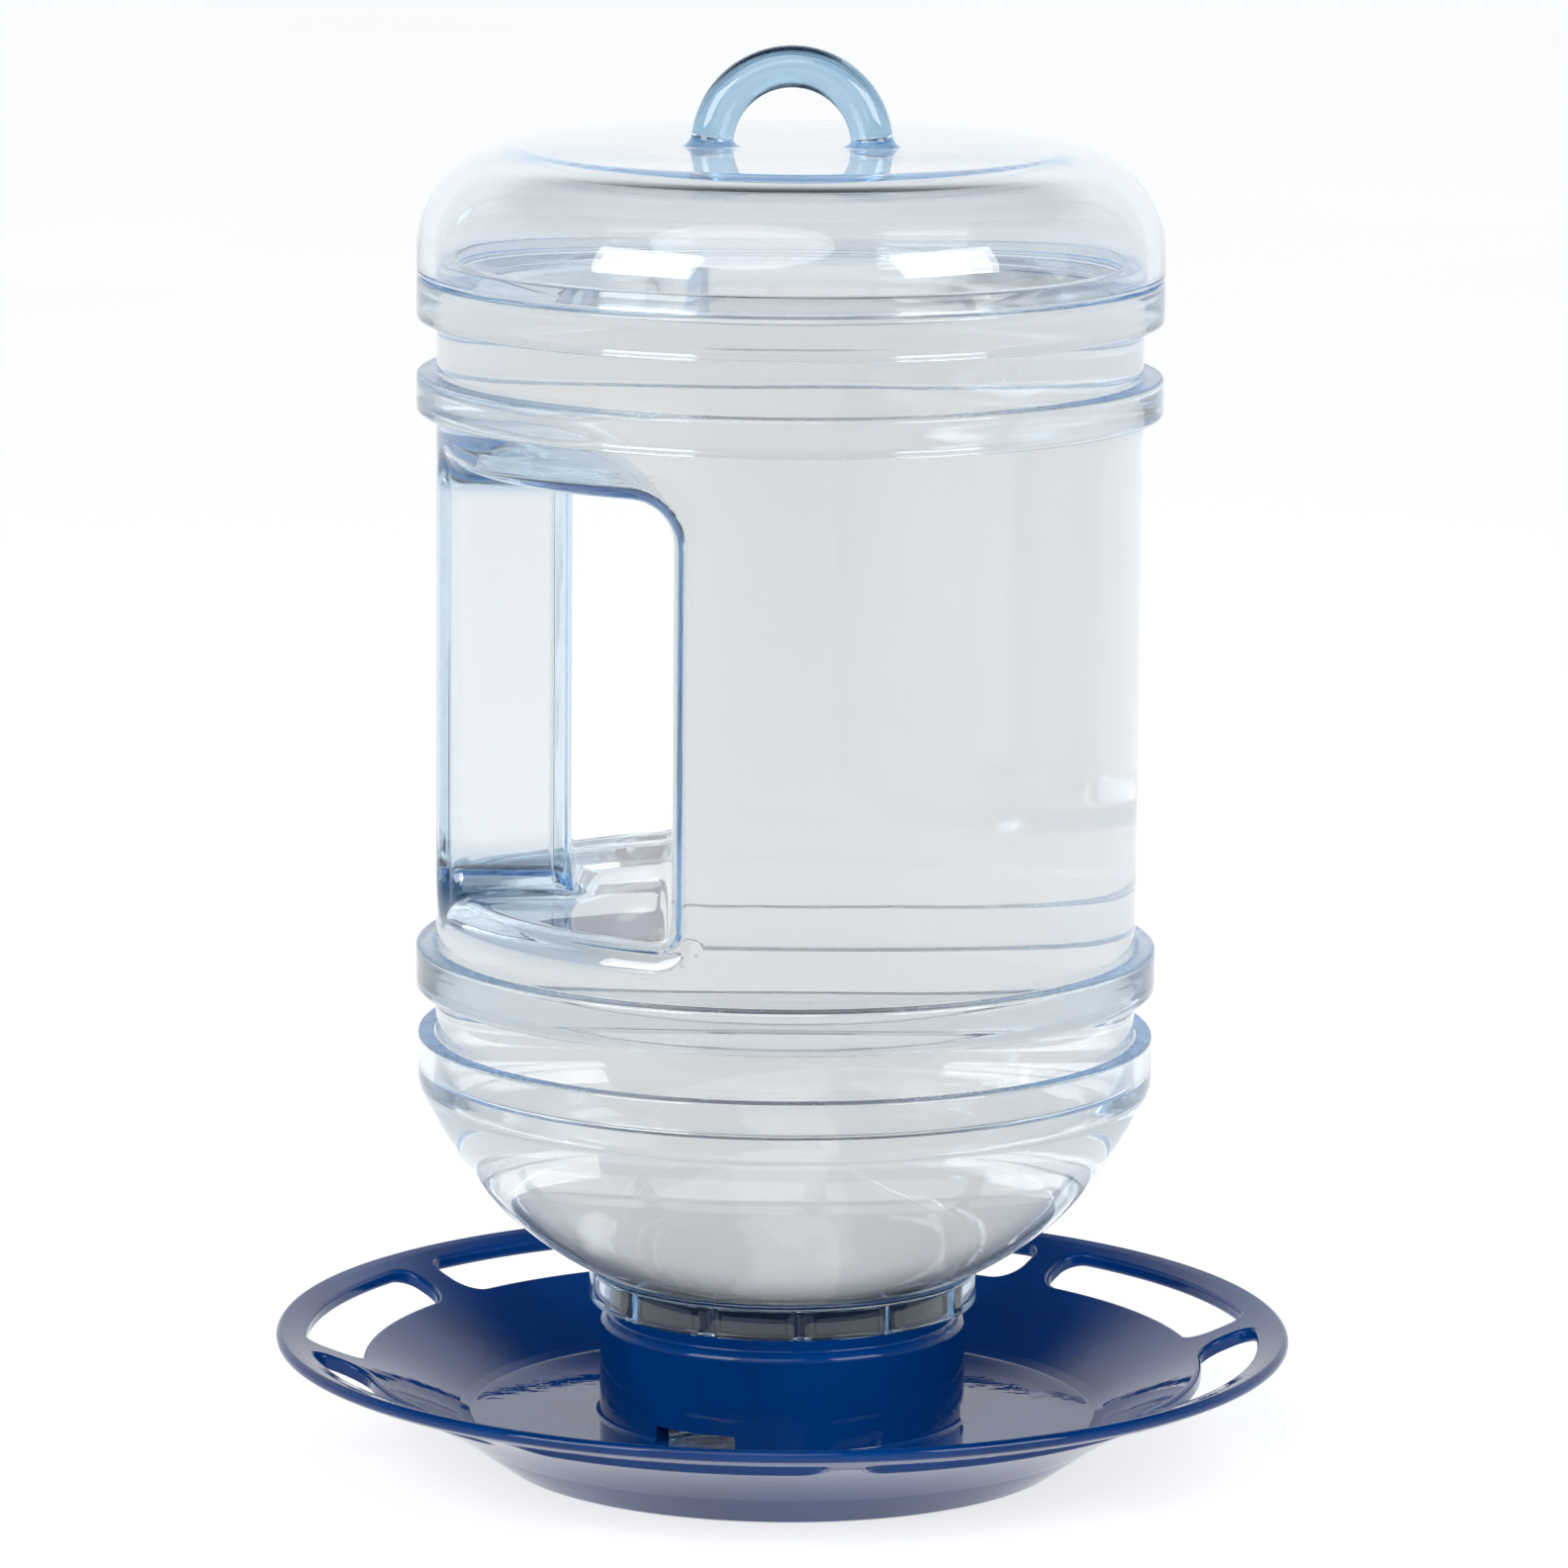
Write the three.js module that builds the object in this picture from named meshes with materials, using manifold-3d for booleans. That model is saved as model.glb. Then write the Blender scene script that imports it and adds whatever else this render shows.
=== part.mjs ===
// Gravity waterer for small birds: a clear bottle with a carrying grip and a hanging loop stands
// mouth down in the threaded collar of an open tray. Millimetres, +Z up, front towards -Y.
// The origin is the centre of the tray's foot, on the surface it stands on.

import * as THREE from "three";
import { mergeVertices } from "three/addons/utils/BufferGeometryUtils.js";
import Module from "manifold-3d";

const wasm = await Module();
wasm.setup();

// Whole object
const TURN_STEPS = 48; // facets round a full turn
const GAP = 0.3; // room between two pieces that touch
const OVERSHOOT = 4; // how far a cutting tool runs past what it cuts

// Tray
const TRAY_RIM_RADIUS = 79.375;
const TRAY_HEIGHT = 20.25;
const TRAY_EDGE = 2.1; // thickness of the flange at its edge
const TRAY_WALL = 2.3;
const TRAY_FLOOR_TOP = 6.5;
const TRAY_FLOOR_RADIUS = 48.8;
const FOOT_RADIUS = 43.7;
const FOOT_INNER_RADIUS = 38;
const FOOT_ROUNDING = 2.2;
const FOOT_SLOPE = THREE.MathUtils.degToRad(41);
const DISH_START = [50.6, 7.3]; // radius and height where the dish's wall leaves the floor's fillet
const DISH_END = [TRAY_RIM_RADIUS - TRAY_EDGE / 2, TRAY_HEIGHT];
const DISH_BEND = THREE.MathUtils.degToRad(16); // how much the wall levels out towards the rim
const DISH_STEPS = 5;

// Slots through the flange
const SLOT_COUNT = 8;
const SLOT_INNER_RADIUS = 65.8;
const SLOT_OUTER_RADIUS = 74.5;
const SLOT_INNER_CORNER = 4.2;
const SLOT_OUTER_CORNER = 2.8;
const WEB_WIDTH = 6;
const WEB_ANGLE = THREE.MathUtils.degToRad(8);

// Collar in the middle of the tray
const COLLAR_RADIUS = 28.6;
const COLLAR_BORE = 25.8;
const COLLAR_TOP = 22.2;
const COLLAR_EDGE = 1.4;
const COLLAR_FILLET = [0.6, 1]; // width and height of the fillet at its foot
const COLLAR_NECK_RADIUS = 27;
const COLLAR_NECK_TOP = 24.6; // the thinner neck that stands in the bottle's skirt
const PORT_COUNT = 3;
const PORT_WIDTH = 14;
const PORT_HEIGHT = 2.6;
const PORT_ANGLE = THREE.MathUtils.degToRad(2);

// Screw thread between the collar and the bottle's mouth
const THREAD_PITCH = 5;
const THREAD_TURNS = 1.25;
const THREAD_BEAD = 1.35; // radius of the round bead
const THREAD_STEPS = 30;
const MOUTH_THREAD_RADIUS = 23.7;
const MOUTH_THREAD_START = 11.6;
const COLLAR_THREAD_RADIUS = 25.7;
const COLLAR_THREAD_START = MOUTH_THREAD_START + THREAD_PITCH / 2;

// Lower bowl, with the mouth and the skirt below it
const MOUTH_RADIUS = 23.6;
const MOUTH_BORE = 21.2;
const MOUTH_BOTTOM = 9.5;
const SKIRT_RADIUS = 30.3;
const SKIRT_BORE = 28;
const SKIRT_BOTTOM = 24.9;
const SKIRT_RIB_COUNT = 12;
const SKIRT_RIB_WIDTH = 1.6;
const SKIRT_RIB_DEPTH = 0.8;
const SKIRT_RIB_ROOT = 1; // how far a rib runs into the skirt and the bowl behind it
const SKIRT_RIB_ANGLE = THREE.MathUtils.degToRad(6);
const BOWL_CENTRE_RADIUS = 8; // the bowl's curve is an arc about this circle
const BOWL_CENTRE_HEIGHT = 78;
const BOWL_ARC = 52.3;
const BOWL_RIM_RADIUS = 57.2;
const BOWL_RIM_BOTTOM = 61.3;
const BOWL_RIM_TOP = 67.9;
const BOWL_EDGE_ARC = 6.8;
const BOWL_EDGE_TURN = THREE.MathUtils.degToRad(21.5);
const BOWL_LEDGE = 62;

// Barrel
const BARREL_RADIUS = 54.4;
const SHELL = 2.8; // wall thickness of all three clear mouldings
const BARREL_BORE = BARREL_RADIUS - SHELL;
const BARREL_BOTTOM = BOWL_LEDGE + GAP;
const BARREL_SHOULDER = 185.85;
const BARREL_TOP = 188.8; // top of the spigot that enters the dome
const SPIGOT_RADIUS = 54.1;
const BAND_RADIUS = 57.5;
const BANDS = [
  [75, 81.8],
  [164.9, 170.9],
];
const TOP_BAND_BOTTOM = 179.2;

// Carrying recess in the barrel, with the grip that stands in it
const RECESS_FACE = -17.1; // x of the recess's flat inner wall
const RECESS_FLOOR = 90.5;
const RECESS_CEILING = 157;
const RECESS_FLOOR_CORNER = 2.6;
const RECESS_CEILING_CORNER = 6.4;
const GRIP_FACE = -33.2; // x of the grip's inner face
const GRIP_HALF_WIDTH = 10;
const GRIP_CORNER = 3;
const GRIP_WALL = 2.6;

// Dome and hanging loop
const DOME_RADIUS = 57.5;
const DOME_BOTTOM = 186.15;
const DOME_TOP = 205.6;
const DOME_SHOULDER = 16;
const LOOP_OUTER_RADIUS = 15.5;
const LOOP_BAR_RADIUS = 3.25;
const LOOP_HEIGHT = 221.3;
const LOOP_SINK = THREE.MathUtils.degToRad(10); // how far the loop's ends run into the dome
const LOOP_STEPS = 20;

// Seal
const SEAL_RADIUS = 26.9;
const SEAL_BORE = 24;
const SEAL_BOTTOM = COLLAR_NECK_TOP + GAP;
const SEAL_TOP = 27.8;
const SEAL_EDGE = 0.6;

// --- making and joining solids ---

/** Closed three.js geometry to a manifold solid, with its faces turned outwards. */
function solid(geometry) {
  const bare = new THREE.BufferGeometry();
  bare.setAttribute("position", geometry.getAttribute("position"));
  bare.setIndex(geometry.getIndex());
  const merged = mergeVertices(bare, 1e-4);
  const corners = merged.getIndex().array;
  const triangles = [];
  for (let i = 0; i < corners.length; i += 3) {
    const [a, b, c] = corners.slice(i, i + 3);
    if (a !== b && b !== c && c !== a) triangles.push(a, b, c);
  }
  const points = new Float32Array(merged.getAttribute("position").array);
  if (signedVolume(points, triangles) < 0) triangles.reverse();
  const triVerts = new Uint32Array(triangles);
  return new wasm.Manifold(new wasm.Mesh({ numProp: 3, vertProperties: points, triVerts }));
}

/** Six times the volume that the triangles close, negative when they face inwards. */
function signedVolume(points, triangles) {
  const [a, b, c] = [new THREE.Vector3(), new THREE.Vector3(), new THREE.Vector3()];
  let total = 0;
  for (let i = 0; i < triangles.length; i += 3) {
    a.fromArray(points, 3 * triangles[i]);
    b.fromArray(points, 3 * triangles[i + 1]);
    c.fromArray(points, 3 * triangles[i + 2]);
    total += a.dot(b.cross(c));
  }
  return total;
}

/** Named mesh of a manifold solid. */
function piece(name, shape, material) {
  const { vertProperties, triVerts } = shape.getMesh();
  const geometry = new THREE.BufferGeometry();
  geometry.setAttribute("position", new THREE.BufferAttribute(vertProperties, 3));
  geometry.setIndex(new THREE.BufferAttribute(triVerts, 1));
  geometry.computeVertexNormals();
  const mesh = new THREE.Mesh(geometry, material);
  mesh.name = name;
  return mesh;
}

/** Points [radius, height] of an arc from one angle to another, anticlockwise from outwards. */
function arc(radius, height, size, from, to, steps) {
  return Array.from({ length: steps + 1 }, (_, i) => {
    const angle = THREE.MathUtils.lerp(from, to, i / steps);
    return [radius + size * Math.cos(angle), height + size * Math.sin(angle)];
  });
}

/** Solid of revolution about Z. A profile off the axis closes on itself. */
function revolve(profile) {
  const points = profile.map(([radius, height]) => new THREE.Vector2(radius, height));
  const onAxis = profile[0][0] === 0 && profile.at(-1)[0] === 0;
  if (!onAxis) points.push(points[0].clone());
  return solid(new THREE.LatheGeometry(points, TURN_STEPS, Math.PI / 2).rotateX(Math.PI / 2));
}

/** Upright cylinder about Z between two heights. */
function rod(radius, bottom, top) {
  return revolve([
    [0, bottom],
    [radius, bottom],
    [radius, top],
    [0, top],
  ]);
}

/** Box between two corners, turned about Z. */
function block([x0, y0, z0], [x1, y1, z1], angle = 0) {
  const box = new THREE.BoxGeometry(x1 - x0, y1 - y0, z1 - z0);
  box.translate((x0 + x1) / 2, (y0 + y1) / 2, (z0 + z1) / 2);
  return solid(box.rotateZ(angle));
}

/** Prism standing on the XY plane from bottom to top. */
function upright(shape, bottom, top) {
  const options = { depth: top - bottom, bevelEnabled: false, curveSegments: 3 };
  return solid(new THREE.ExtrudeGeometry(shape, options).translate(0, 0, bottom));
}

/** Round bar along a curve. */
function bar(path, radius, sides, steps) {
  const section = new THREE.Shape();
  section.absarc(0, 0, radius, 0, 2 * Math.PI, false);
  const options = { extrudePath: path, steps, curveSegments: sides, bevelEnabled: false };
  return solid(new THREE.ExtrudeGeometry(section, options));
}

/** Rectangle from x0 to x1 and y0 to y1 whose two corners at x1 are rounded, low and high. */
function roundedEnd(x0, x1, y0, y1, low, high) {
  const shape = new THREE.Shape();
  shape.moveTo(x0, y0);
  shape.lineTo(x1 - low, y0);
  shape.absarc(x1 - low, y0 + low, low, -Math.PI / 2, 0, false);
  shape.absarc(x1 - high, y1 - high, high, 0, Math.PI / 2, false);
  shape.lineTo(x0, y1);
  shape.closePath();
  return shape;
}

// --- curves ---

class Helix extends THREE.Curve {
  constructor(radius, start) {
    super();
    this.radius = radius;
    this.start = start;
  }
  getPoint(t, target = new THREE.Vector3()) {
    const turns = t * THREAD_TURNS;
    const angle = 2 * Math.PI * turns;
    const height = this.start + turns * THREAD_PITCH;
    return target.set(this.radius * Math.cos(angle), this.radius * Math.sin(angle), height);
  }
}

class LoopArc extends THREE.Curve {
  getPoint(t, target = new THREE.Vector3()) {
    const angle = THREE.MathUtils.lerp(-LOOP_SINK, Math.PI + LOOP_SINK, t);
    const size = LOOP_OUTER_RADIUS - LOOP_BAR_RADIUS;
    const centre = LOOP_HEIGHT - LOOP_OUTER_RADIUS;
    return target.set(size * Math.cos(angle), 0, centre + size * Math.sin(angle));
  }
}

function threadBead(radius, start) {
  return bar(new Helix(radius, start), THREAD_BEAD, 3, THREAD_STEPS);
}

// --- tray ---

/** One slot, from the web at an angle to the next one. The webs' sides are parallel. */
function slotShape(web) {
  const next = web + (2 * Math.PI) / SLOT_COUNT;
  const outer = SLOT_OUTER_RADIUS - SLOT_OUTER_CORNER;
  const inner = SLOT_INNER_RADIUS + SLOT_INNER_CORNER;
  const outerShift = Math.asin((WEB_WIDTH / 2 + SLOT_OUTER_CORNER) / outer);
  const innerShift = Math.asin((WEB_WIDTH / 2 + SLOT_INNER_CORNER) / inner);
  const quarter = Math.PI / 2;
  const shape = new THREE.Shape();
  const corner = (distance, angle, size, from, to) => {
    const [x, y] = [distance * Math.cos(angle), distance * Math.sin(angle)];
    shape.absarc(x, y, size, from, to, false);
  };
  const [outerFirst, outerLast] = [web + outerShift, next - outerShift];
  const [innerFirst, innerLast] = [web + innerShift, next - innerShift];
  shape.absarc(0, 0, SLOT_OUTER_RADIUS, outerFirst, outerLast, false);
  corner(outer, outerLast, SLOT_OUTER_CORNER, outerLast, next + quarter);
  corner(inner, innerLast, SLOT_INNER_CORNER, next + quarter, innerLast + 2 * quarter);
  shape.absarc(0, 0, SLOT_INNER_RADIUS, innerLast, innerFirst, true);
  corner(inner, innerFirst, SLOT_INNER_CORNER, innerFirst - 2 * quarter, web - quarter);
  corner(outer, outerFirst, SLOT_OUTER_CORNER, web - quarter, outerFirst);
  return shape;
}

/** Centre, radius and first and last angle of the arc that the dish's upper surface follows. */
function dishArc() {
  const start = new THREE.Vector2(...DISH_START);
  const end = new THREE.Vector2(...DISH_END);
  const chord = end.clone().sub(start);
  const radius = chord.length() / (2 * Math.sin(DISH_BEND / 2));
  const rise = chord.angle() + Math.PI / 2;
  const centre = start.clone().lerp(end, 0.5);
  centre.x -= radius * Math.cos(DISH_BEND / 2) * Math.cos(rise);
  centre.y -= radius * Math.cos(DISH_BEND / 2) * Math.sin(rise);
  return { centre, radius, first: rise + DISH_BEND / 2, last: rise - DISH_BEND / 2 };
}

/** Section of the tray and its collar, from the middle of the floor outwards and back. */
function trayProfile() {
  const { centre, radius, first, last } = dishArc();
  const down = -Math.PI / 2;
  const foot = arc(FOOT_RADIUS, FOOT_ROUNDING, FOOT_ROUNDING, down, down + FOOT_SLOPE, 3);
  const edge = TRAY_EDGE / 2;
  const floorUnderside = TRAY_FLOOR_TOP - TRAY_WALL;
  const neck = COLLAR_RADIUS - COLLAR_EDGE;
  return [
    [0, floorUnderside],
    [FOOT_INNER_RADIUS - floorUnderside / 2, floorUnderside],
    [FOOT_INNER_RADIUS, 0],
    ...foot,
    ...arc(centre.x, centre.y, radius - TRAY_WALL, first, last, DISH_STEPS).slice(0, -1),
    ...arc(TRAY_RIM_RADIUS - edge, TRAY_HEIGHT - edge, edge, down, -down, 4),
    ...arc(centre.x, centre.y, radius, last, first, DISH_STEPS).slice(1),
    [TRAY_FLOOR_RADIUS, TRAY_FLOOR_TOP],
    [COLLAR_RADIUS + COLLAR_FILLET[0], TRAY_FLOOR_TOP],
    [COLLAR_RADIUS, TRAY_FLOOR_TOP + COLLAR_FILLET[1]],
    ...arc(neck, COLLAR_TOP - COLLAR_EDGE, COLLAR_EDGE, 0, -down, 3),
    [COLLAR_NECK_RADIUS, COLLAR_TOP],
    [COLLAR_NECK_RADIUS, COLLAR_NECK_TOP],
    [COLLAR_BORE, COLLAR_NECK_TOP],
    [COLLAR_BORE, TRAY_FLOOR_TOP],
    [0, TRAY_FLOOR_TOP],
  ];
}

function trayBase() {
  let tray = revolve(trayProfile());
  tray = tray.add(threadBead(COLLAR_THREAD_RADIUS, COLLAR_THREAD_START));
  for (let i = 0; i < SLOT_COUNT; i++) {
    const web = WEB_ANGLE + (2 * Math.PI * i) / SLOT_COUNT;
    tray = tray.subtract(upright(slotShape(web), TRAY_FLOOR_TOP, TRAY_HEIGHT + OVERSHOOT));
  }
  for (let i = 0; i < PORT_COUNT; i++) {
    const low = [COLLAR_BORE - OVERSHOOT, -PORT_WIDTH / 2, TRAY_FLOOR_TOP];
    const high = [COLLAR_RADIUS + OVERSHOOT, PORT_WIDTH / 2, TRAY_FLOOR_TOP + PORT_HEIGHT];
    tray = tray.subtract(block(low, high, PORT_ANGLE + (2 * Math.PI * i) / PORT_COUNT));
  }
  return tray;
}

// --- bottle ---

/** Height of the bowl's curve of the given size at a radius. */
function bowlHeight(size, radius) {
  return BOWL_CENTRE_HEIGHT - Math.sqrt(size ** 2 - (radius - BOWL_CENTRE_RADIUS) ** 2);
}

/** Stretch of the bowl's curve between two radii. */
function bowlArc(size, fromRadius, toRadius, steps) {
  const angle = (radius) => -Math.acos((radius - BOWL_CENTRE_RADIUS) / size);
  return arc(BOWL_CENTRE_RADIUS, BOWL_CENTRE_HEIGHT, size, angle(fromRadius), angle(toRadius), steps);
}

/** Section of the bowl with its skirt and mouth, round the wall and back to the mouth. */
function bowlProfile() {
  const inside = BOWL_ARC - SHELL;
  const edgeCentre = BOWL_RIM_RADIUS - BOWL_EDGE_ARC;
  const edge = arc(edgeCentre, BOWL_RIM_BOTTOM, BOWL_EDGE_ARC, -BOWL_EDGE_TURN, 0, 3);
  return [
    [MOUTH_BORE, MOUTH_BOTTOM],
    [MOUTH_RADIUS, MOUTH_BOTTOM],
    ...bowlArc(BOWL_ARC, MOUTH_RADIUS, SKIRT_BORE, 2),
    [SKIRT_BORE, SKIRT_BOTTOM],
    [SKIRT_RADIUS, SKIRT_BOTTOM],
    ...bowlArc(BOWL_ARC, SKIRT_RADIUS, edge[0][0], 9).slice(0, -1),
    ...edge,
    [BOWL_RIM_RADIUS, BOWL_RIM_TOP],
    [BARREL_RADIUS + GAP, BOWL_RIM_TOP],
    [BARREL_RADIUS + GAP, BOWL_LEDGE],
    [BARREL_BORE, BOWL_LEDGE],
    ...bowlArc(inside, BARREL_BORE, MOUTH_BORE, 8),
  ];
}

function lowerBowl() {
  let bowl = revolve(bowlProfile());
  bowl = bowl.add(threadBead(MOUTH_THREAD_RADIUS, MOUTH_THREAD_START));
  for (let i = 0; i < SKIRT_RIB_COUNT; i++) {
    const low = [SKIRT_BORE - SKIRT_RIB_DEPTH, -SKIRT_RIB_WIDTH / 2, SKIRT_BOTTOM];
    const top = bowlHeight(BOWL_ARC, SKIRT_BORE) + SKIRT_RIB_ROOT;
    const high = [SKIRT_BORE + SKIRT_RIB_ROOT, SKIRT_RIB_WIDTH / 2, top];
    bowl = bowl.add(block(low, high, SKIRT_RIB_ANGLE + (2 * Math.PI * i) / SKIRT_RIB_COUNT));
  }
  return bowl;
}

/** Space of the carrying recess, grown all round by a margin. */
function recess(margin) {
  const [low, high] = [RECESS_FLOOR - margin, RECESS_CEILING + margin];
  const face = RECESS_FACE + margin;
  const reach = BAND_RADIUS + OVERSHOOT;
  const corners = [RECESS_FLOOR_CORNER + margin, RECESS_CEILING_CORNER + margin];
  const shape = roundedEnd(-reach, face, low, high, ...corners);
  const options = { depth: 2 * reach, bevelEnabled: false, curveSegments: 3 };
  const slab = new THREE.ExtrudeGeometry(shape, options).translate(0, 0, -reach);
  return solid(slab.rotateX(Math.PI / 2));
}

/** Column of the grip inside a cylinder, shrunk all round by a margin and longer at each end. */
function grip(radius, margin, extra) {
  const half = GRIP_HALF_WIDTH - margin;
  const corner = GRIP_CORNER - margin / 2;
  const shape = roundedEnd(-BAND_RADIUS, GRIP_FACE - margin, -half, half, corner, corner);
  const [low, high] = [RECESS_FLOOR - extra, RECESS_CEILING + extra];
  return upright(shape, low, high).intersect(rod(radius, low - OVERSHOOT, high + OVERSHOOT));
}

function barrel() {
  let body = rod(BARREL_RADIUS, BARREL_BOTTOM, BARREL_SHOULDER);
  for (const [bottom, top] of BANDS) {
    body = body.add(rod(BAND_RADIUS, bottom, top));
  }
  body = body.add(rod(BAND_RADIUS, TOP_BAND_BOTTOM, BARREL_SHOULDER));
  body = body.add(rod(SPIGOT_RADIUS, BARREL_SHOULDER - OVERSHOOT, BARREL_TOP));
  body = body.subtract(recess(0)).add(grip(BARREL_RADIUS, 0, SHELL / 2));
  let hollow = rod(BARREL_BORE, BARREL_BOTTOM - OVERSHOOT, BARREL_TOP + OVERSHOOT);
  hollow = hollow.subtract(recess(SHELL)).add(grip(BARREL_BORE, GRIP_WALL, 2 * SHELL));
  return body.subtract(hollow);
}

function domeCap() {
  const shoulder = DOME_RADIUS - DOME_SHOULDER;
  const start = DOME_TOP - DOME_SHOULDER;
  const inner = DOME_SHOULDER - SHELL;
  const shell = revolve([
    [0, DOME_TOP - SHELL],
    ...arc(shoulder, start, inner, Math.PI / 2, 0, 6),
    [shoulder + inner, DOME_BOTTOM],
    [DOME_RADIUS, DOME_BOTTOM],
    ...arc(shoulder, start, DOME_SHOULDER, 0, Math.PI / 2, 8),
    [0, DOME_TOP],
  ]);
  return shell.add(bar(new LoopArc(), LOOP_BAR_RADIUS, 5, LOOP_STEPS));
}

function neckSeal() {
  return revolve([
    [SEAL_BORE, SEAL_BOTTOM],
    [SEAL_RADIUS - SEAL_EDGE, SEAL_BOTTOM],
    [SEAL_RADIUS, SEAL_BOTTOM + SEAL_EDGE],
    [SEAL_RADIUS, SEAL_TOP + SEAL_EDGE],
    [SEAL_BORE, SEAL_TOP],
  ]);
}

// --- materials ---

function clearPlastic() {
  const looks = { color: 0xbfd3de, roughness: 0.06, metalness: 0 };
  return new THREE.MeshStandardMaterial({ ...looks, transparent: true, opacity: 0.35 });
}

function bluePlastic() {
  return new THREE.MeshStandardMaterial({ color: 0x0a2f78, roughness: 0.15, metalness: 0 });
}

function darkRubber() {
  return new THREE.MeshStandardMaterial({ color: 0x2b323b, roughness: 0.7, metalness: 0 });
}

const waterer = new THREE.Group();
waterer.add(piece("tray_base", trayBase(), bluePlastic()));
waterer.add(piece("neck_seal", neckSeal(), darkRubber()));
const bottle = new THREE.Group();
bottle.add(piece("lower_bowl", lowerBowl(), clearPlastic()));
bottle.add(piece("barrel", barrel(), clearPlastic()));
bottle.add(piece("dome_cap", domeCap(), clearPlastic()));
waterer.add(bottle);

export default waterer;
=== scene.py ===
"""Looks of a hanging gravity waterer: a clear bottle screwed mouth down into a slotted blue tray.

Shapes are given in millimetres, in the part's own frame: +Z up, front towards -Y, grip on the -X side.
"""

import math

import bpy
import numpy as np
from mathutils import Euler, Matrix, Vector, geometry


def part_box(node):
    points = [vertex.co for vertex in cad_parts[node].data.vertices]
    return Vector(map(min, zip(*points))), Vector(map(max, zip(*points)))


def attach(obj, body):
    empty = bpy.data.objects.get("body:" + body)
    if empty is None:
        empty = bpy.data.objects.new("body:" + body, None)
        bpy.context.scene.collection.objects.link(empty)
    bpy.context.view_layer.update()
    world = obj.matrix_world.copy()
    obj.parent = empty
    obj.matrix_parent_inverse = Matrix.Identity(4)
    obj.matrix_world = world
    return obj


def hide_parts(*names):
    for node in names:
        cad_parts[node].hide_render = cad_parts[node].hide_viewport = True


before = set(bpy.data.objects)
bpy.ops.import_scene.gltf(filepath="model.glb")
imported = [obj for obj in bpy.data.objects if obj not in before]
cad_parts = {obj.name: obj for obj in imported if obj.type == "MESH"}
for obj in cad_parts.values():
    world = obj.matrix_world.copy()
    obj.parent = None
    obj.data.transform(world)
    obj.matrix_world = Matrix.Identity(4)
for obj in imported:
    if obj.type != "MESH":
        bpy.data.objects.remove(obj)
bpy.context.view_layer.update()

MM = 0.001
TURN = 2 * math.pi


def box_mm(node):
    """Lowest and highest corner of a CAD node in millimetres."""
    low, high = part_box(node)
    return np.array(low) / MM, np.array(high) / MM


TRAY_LOW, TRAY_HIGH = box_mm("tray_base")
BOWL_LOW, BOWL_HIGH = box_mm("lower_bowl")
BARREL_LOW, BARREL_HIGH = box_mm("barrel")
DOME_LOW, DOME_HIGH = box_mm("dome_cap")
SEAL_LOW, SEAL_HIGH = box_mm("neck_seal")

SHELL = 2.8  # wall of the clear mouldings
STEPS = 192  # columns round a full turn
SECTORS = 8  # slots in the tray's flange
WEB_ANGLE = math.radians(8)  # the first web between two slots
ANGLES = WEB_ANGLE + TURN * np.arange(STEPS) / STEPS

# --- profiles ---


def arc(centre, size, start, stop, count):
    """Points of an arc, angles in degrees from outwards, anticlockwise."""
    angle = np.radians(np.linspace(start, stop, count))
    return np.stack([centre[0] + size * np.cos(angle), centre[1] + size * np.sin(angle)], 1)


def unit(v):
    return v / np.maximum(np.linalg.norm(v, axis=-1, keepdims=True), 1e-12)


def trimmed(run, start, stop):
    """The polyline without its first start and last stop millimetres."""
    length = np.concatenate([[0], np.cumsum(np.linalg.norm(np.diff(run, axis=0), axis=1))])
    keep = (length > start + 0.02) & (length < length[-1] - stop - 0.02)
    ends = [start, length[-1] - stop]
    first, last = [np.array([np.interp(e, length, run[:, k]) for k in (0, 1)]) for e in ends]
    return np.concatenate([[first], run[keep], [last]])


def outline(items, closed=True):
    """Points and outward normals of a profile given anticlockwise in the (radius, height) plane.

    An item is a corner (radius, height, fillet) or an array of points between two corners."""
    corners, runs = [], []
    between = []
    for item in items + ([items[0]] if closed else []):
        if isinstance(item, np.ndarray):
            between.append(item)
            continue
        if corners:
            last = corners[-1]
            runs.append(np.concatenate([[last[:2]], *between, [item[:2]]]))
        between = []
        corners.append(item)
    count = len(runs)
    cut = np.zeros((count, 2))
    arcs = [None] * count
    for i in range(count):
        if i == count - 1 and not closed:
            continue
        nxt = (i + 1) % count
        fillet = corners[i + 1][2]
        d1, d2 = unit(runs[i][-1] - runs[i][-2]), unit(runs[nxt][1] - runs[nxt][0])
        turn = math.atan2(d1[0] * d2[1] - d1[1] * d2[0], d1 @ d2)
        reach = fillet * math.tan(abs(turn) / 2)
        cut[i, 1], cut[nxt, 0] = reach, reach
        side = np.array([-d1[1], d1[0]]) * math.copysign(1, turn)
        centre = np.array(corners[i + 1][:2]) - d1 * reach + side * fillet
        steps = max(3, int(abs(math.degrees(turn)) / 12) + 1)
        swing = np.linspace(0, turn, steps)
        back = -side
        rot = np.stack([back[0] * np.cos(swing) - back[1] * np.sin(swing),
                        back[0] * np.sin(swing) + back[1] * np.cos(swing)], 1)
        arcs[i] = (centre + fillet * rot, rot * math.copysign(1, turn))
    points, normals = [], []
    for i in range(count):
        run = trimmed(runs[i], cut[i, 0], cut[i, 1])
        slope = unit(np.gradient(run, axis=0))
        points.append(run)
        normals.append(np.stack([slope[:, 1], -slope[:, 0]], 1))
        if arcs[i] is not None:
            points.append(arcs[i][0][1:-1])
            normals.append(arcs[i][1][1:-1])
    return np.concatenate(points), np.concatenate(normals)


# --- meshes ---


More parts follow.
